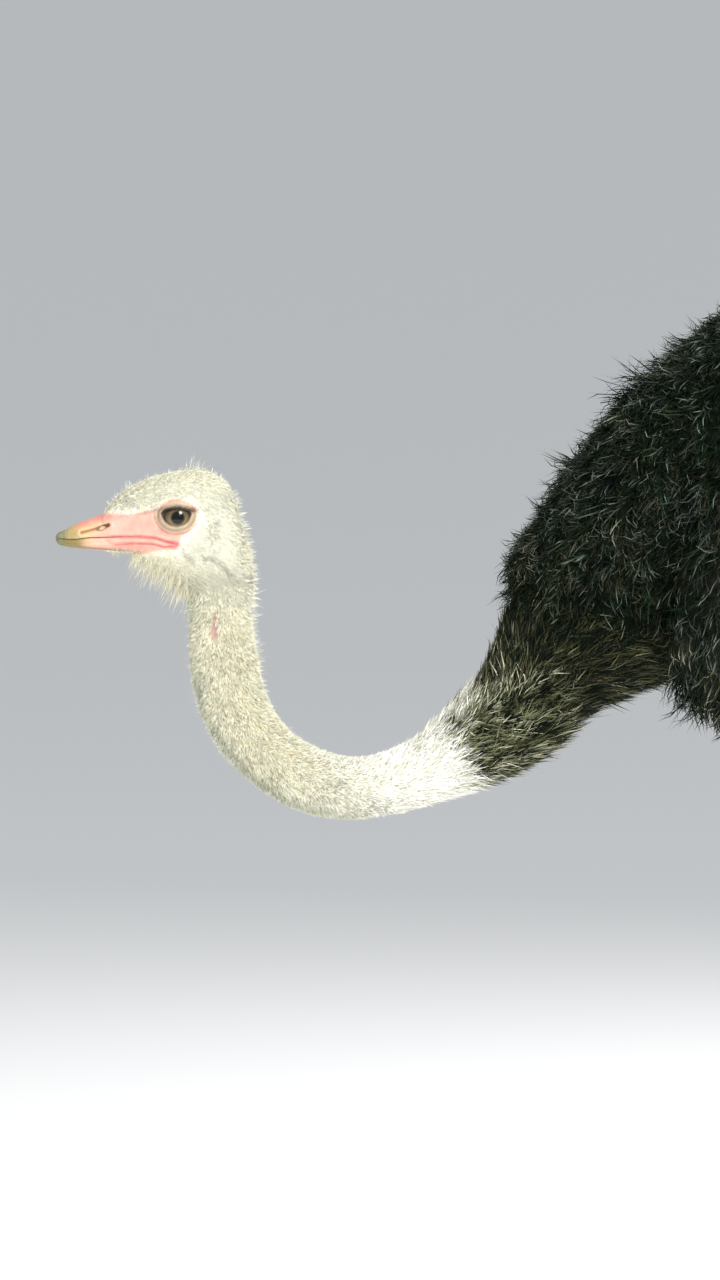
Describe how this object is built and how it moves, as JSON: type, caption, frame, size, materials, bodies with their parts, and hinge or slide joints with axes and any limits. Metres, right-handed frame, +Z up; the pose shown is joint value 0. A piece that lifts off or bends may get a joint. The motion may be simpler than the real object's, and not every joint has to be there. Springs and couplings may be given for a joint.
{
  "type": "ostrich",
  "caption": "Life-size cock ostrich standing still, neck lowered in a U and head level, with shaggy black body plumage, white plumes and pale down on head and neck.",
  "frame": {"origin": "on the floor, under the middle of the bounding box", "axes": "+Z up; the bird faces -X, its left side is -Y and its right side is +Y"},
  "size_m": [1.5796, 0.556, 1.4311],
  "materials": {
    "black_plumage": "matt, soft and shaggy",
    "white_plumage": "matt, soft loose plumes",
    "tail_plumage": "matt, buff to cream plumes",
    "down": "matt, short bristly down",
    "skin": "satin, scaled and wrinkled",
    "bill": "satin horn over pink skin",
    "eye": "wet and glossy",
    "horn": "satin, worn claws"
  },
  "bodies": {
    "root": {"trunk": "black_plumage", "wing_left": "black_plumage", "wing_right": "black_plumage", "neck_base": "black_plumage", "wing_plumes_left": "white_plumage", "wing_plumes_right": "white_plumage", "tail": "tail_plumage", "neck_lower": "down", "neck_bend": "down", "neck_upper": "down", "head": "down", "bill_upper": "bill", "bill_lower": "bill", "eye_left": "eye", "eye_right": "eye", "drumstick_left": "skin", "tarsus_left": "skin", "big_toe_left": "skin", "small_toe_left": "skin", "claw_left": "horn", "drumstick_right": "skin", "tarsus_right": "skin", "big_toe_right": "skin", "small_toe_right": "skin", "claw_right": "horn"}
  },
  "joints": []
}
